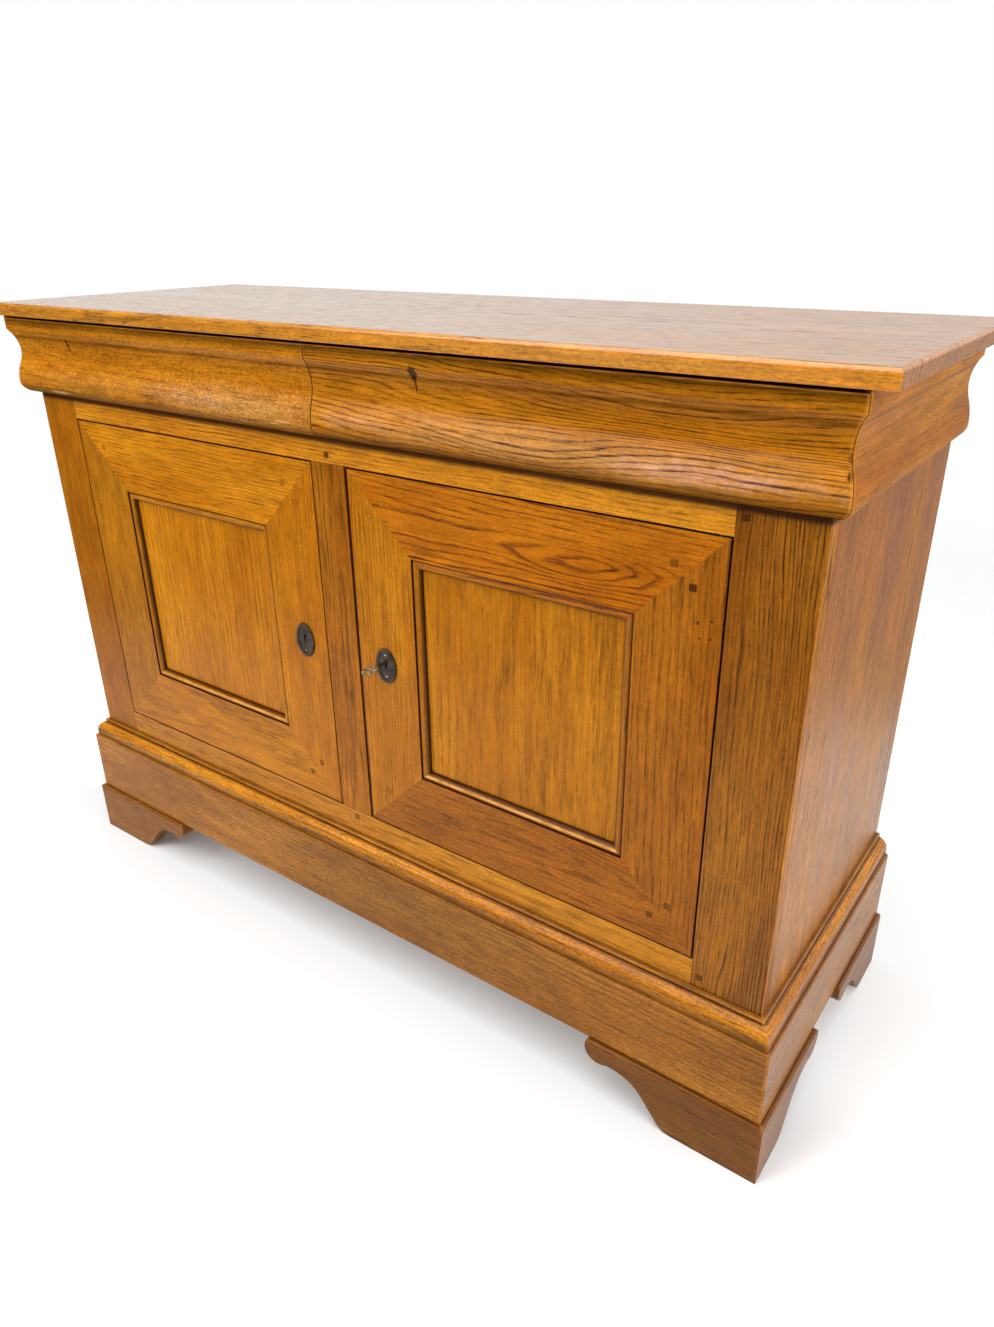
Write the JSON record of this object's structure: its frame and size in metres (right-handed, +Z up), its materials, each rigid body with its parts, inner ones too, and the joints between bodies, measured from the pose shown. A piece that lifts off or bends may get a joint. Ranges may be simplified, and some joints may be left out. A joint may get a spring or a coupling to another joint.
{
  "type": "oak buffet",
  "caption": "Low oak buffet with framed panel doors, drawers hidden in an ogee cornice, a moulded plinth and bracket feet, for storing tableware.",
  "frame": {"origin": "on the floor under the middle of the whole piece, the key included", "axes": "+X to the right seen from the front, +Y from the front to the back, +Z up"},
  "size_m": [1.417, 0.512, 1],
  "materials": {
    "top_oak": "waxed oak, polished by use",
    "cornice_oak": "waxed oak, honey colour",
    "frame_oak": "waxed oak, honey colour",
    "door_oak": "waxed oak, honey colour",
    "plinth_oak": "waxed oak, darker and worn",
    "inside_oak": "plain oak",
    "peg_oak": "dark end grain",
    "pivot_steel": "plain steel, worn",
    "lock_steel": "plain steel, worn",
    "bronze": "dark bronze with a rubbed rim",
    "key_brass": "rubbed brass"
  },
  "bodies": {
    "carcass": {"top_board": "top_oak", "left_front_post": "frame_oak", "left_side_panel": "frame_oak", "right_front_post": "frame_oak", "right_side_panel": "frame_oak", "centre_mullion": "frame_oak", "top_rail": "frame_oak", "bottom_rail": "frame_oak", "drawer_head_rail": "frame_oak", "frame_pegs": "peg_oak", "frame_pivots": "pivot_steel", "back_boards": "inside_oak", "back_top_rail": "inside_oak", "cabinet_floor": "inside_oak", "shelf": "inside_oak", "shelf_cleats": "inside_oak", "drawer_runners": "inside_oak", "drawer_kickers": "inside_oak", "drawer_divider": "inside_oak", "left_cornice_return": "cornice_oak", "right_cornice_return": "cornice_oak", "front_plinth_moulding": "plinth_oak", "side_plinth_mouldings": "plinth_oak", "front_plinth_fascia": "plinth_oak", "side_plinth_fascias": "plinth_oak", "front_left_foot_front": "plinth_oak", "front_left_foot_side": "plinth_oak", "front_right_foot_front": "plinth_oak", "front_right_foot_side": "plinth_oak", "rear_foot_brackets": "plinth_oak", "foot_blocks": "plinth_oak"},
    "left_door": {"left_door_hinge_stile": "door_oak", "left_door_lock_stile": "door_oak", "left_door_top_rail": "door_oak", "left_door_bottom_rail": "door_oak", "left_door_panel": "door_oak", "left_door_pegs": "peg_oak", "left_door_pivots": "pivot_steel", "left_lock_case": "lock_steel", "left_escutcheon": "bronze"},
    "right_door": {"right_door_hinge_stile": "door_oak", "right_door_lock_stile": "door_oak", "right_door_top_rail": "door_oak", "right_door_bottom_rail": "door_oak", "right_door_panel": "door_oak", "right_door_pegs": "peg_oak", "right_door_pivots": "pivot_steel", "right_lock_case": "lock_steel", "right_escutcheon": "bronze"},
    "left_drawer": {"left_drawer_front": "cornice_oak", "left_drawer_sides": "inside_oak", "left_drawer_back": "inside_oak", "left_drawer_bottom": "inside_oak"},
    "right_drawer": {"right_drawer_front": "cornice_oak", "right_drawer_sides": "inside_oak", "right_drawer_back": "inside_oak", "right_drawer_bottom": "inside_oak"},
    "left_bolt": {"left_lock_bolt": "lock_steel"},
    "right_bolt": {"right_lock_bolt": "lock_steel"},
    "key": {"right_key": "key_brass"}
  },
  "joints": [
    {"name": "left_door_hinge", "type": "hinge", "parent": "carcass", "child": "left_door", "pos_m": [-0.558, -0.203, 0.55375], "axis": [0, 0, -1], "range_deg": [0, 110]},
    {"name": "right_door_hinge", "type": "hinge", "parent": "carcass", "child": "right_door", "pos_m": [0.553, -0.203, 0.55375], "axis": [0, 0, 1], "range_deg": [0, 110]},
    {"name": "left_drawer_slide", "type": "slide", "parent": "carcass", "child": "left_drawer", "axis": [0, -1, 0], "range_m": [0, 0.3]},
    {"name": "right_drawer_slide", "type": "slide", "parent": "carcass", "child": "right_drawer", "axis": [0, -1, 0], "range_m": [0, 0.3]},
    {"name": "right_key_turn", "type": "hinge", "parent": "right_door", "child": "key", "pos_m": [0.084, -0.209, 0.55975], "axis": [0, -1, 0], "range_deg": [0, 180]},
    {"name": "right_bolt_slide", "type": "slide", "parent": "right_door", "child": "right_bolt", "axis": [-1, 0, 0], "range_m": [0, 0.01]},
    {"name": "left_bolt_slide", "type": "slide", "parent": "left_door", "child": "left_bolt", "axis": [1, 0, 0], "range_m": [0, 0.01]}
  ],
  "couplings": [
    {"joint": "right_bolt_slide", "follows": "right_key_turn", "m_per_rad": 0.0031831}
  ]
}
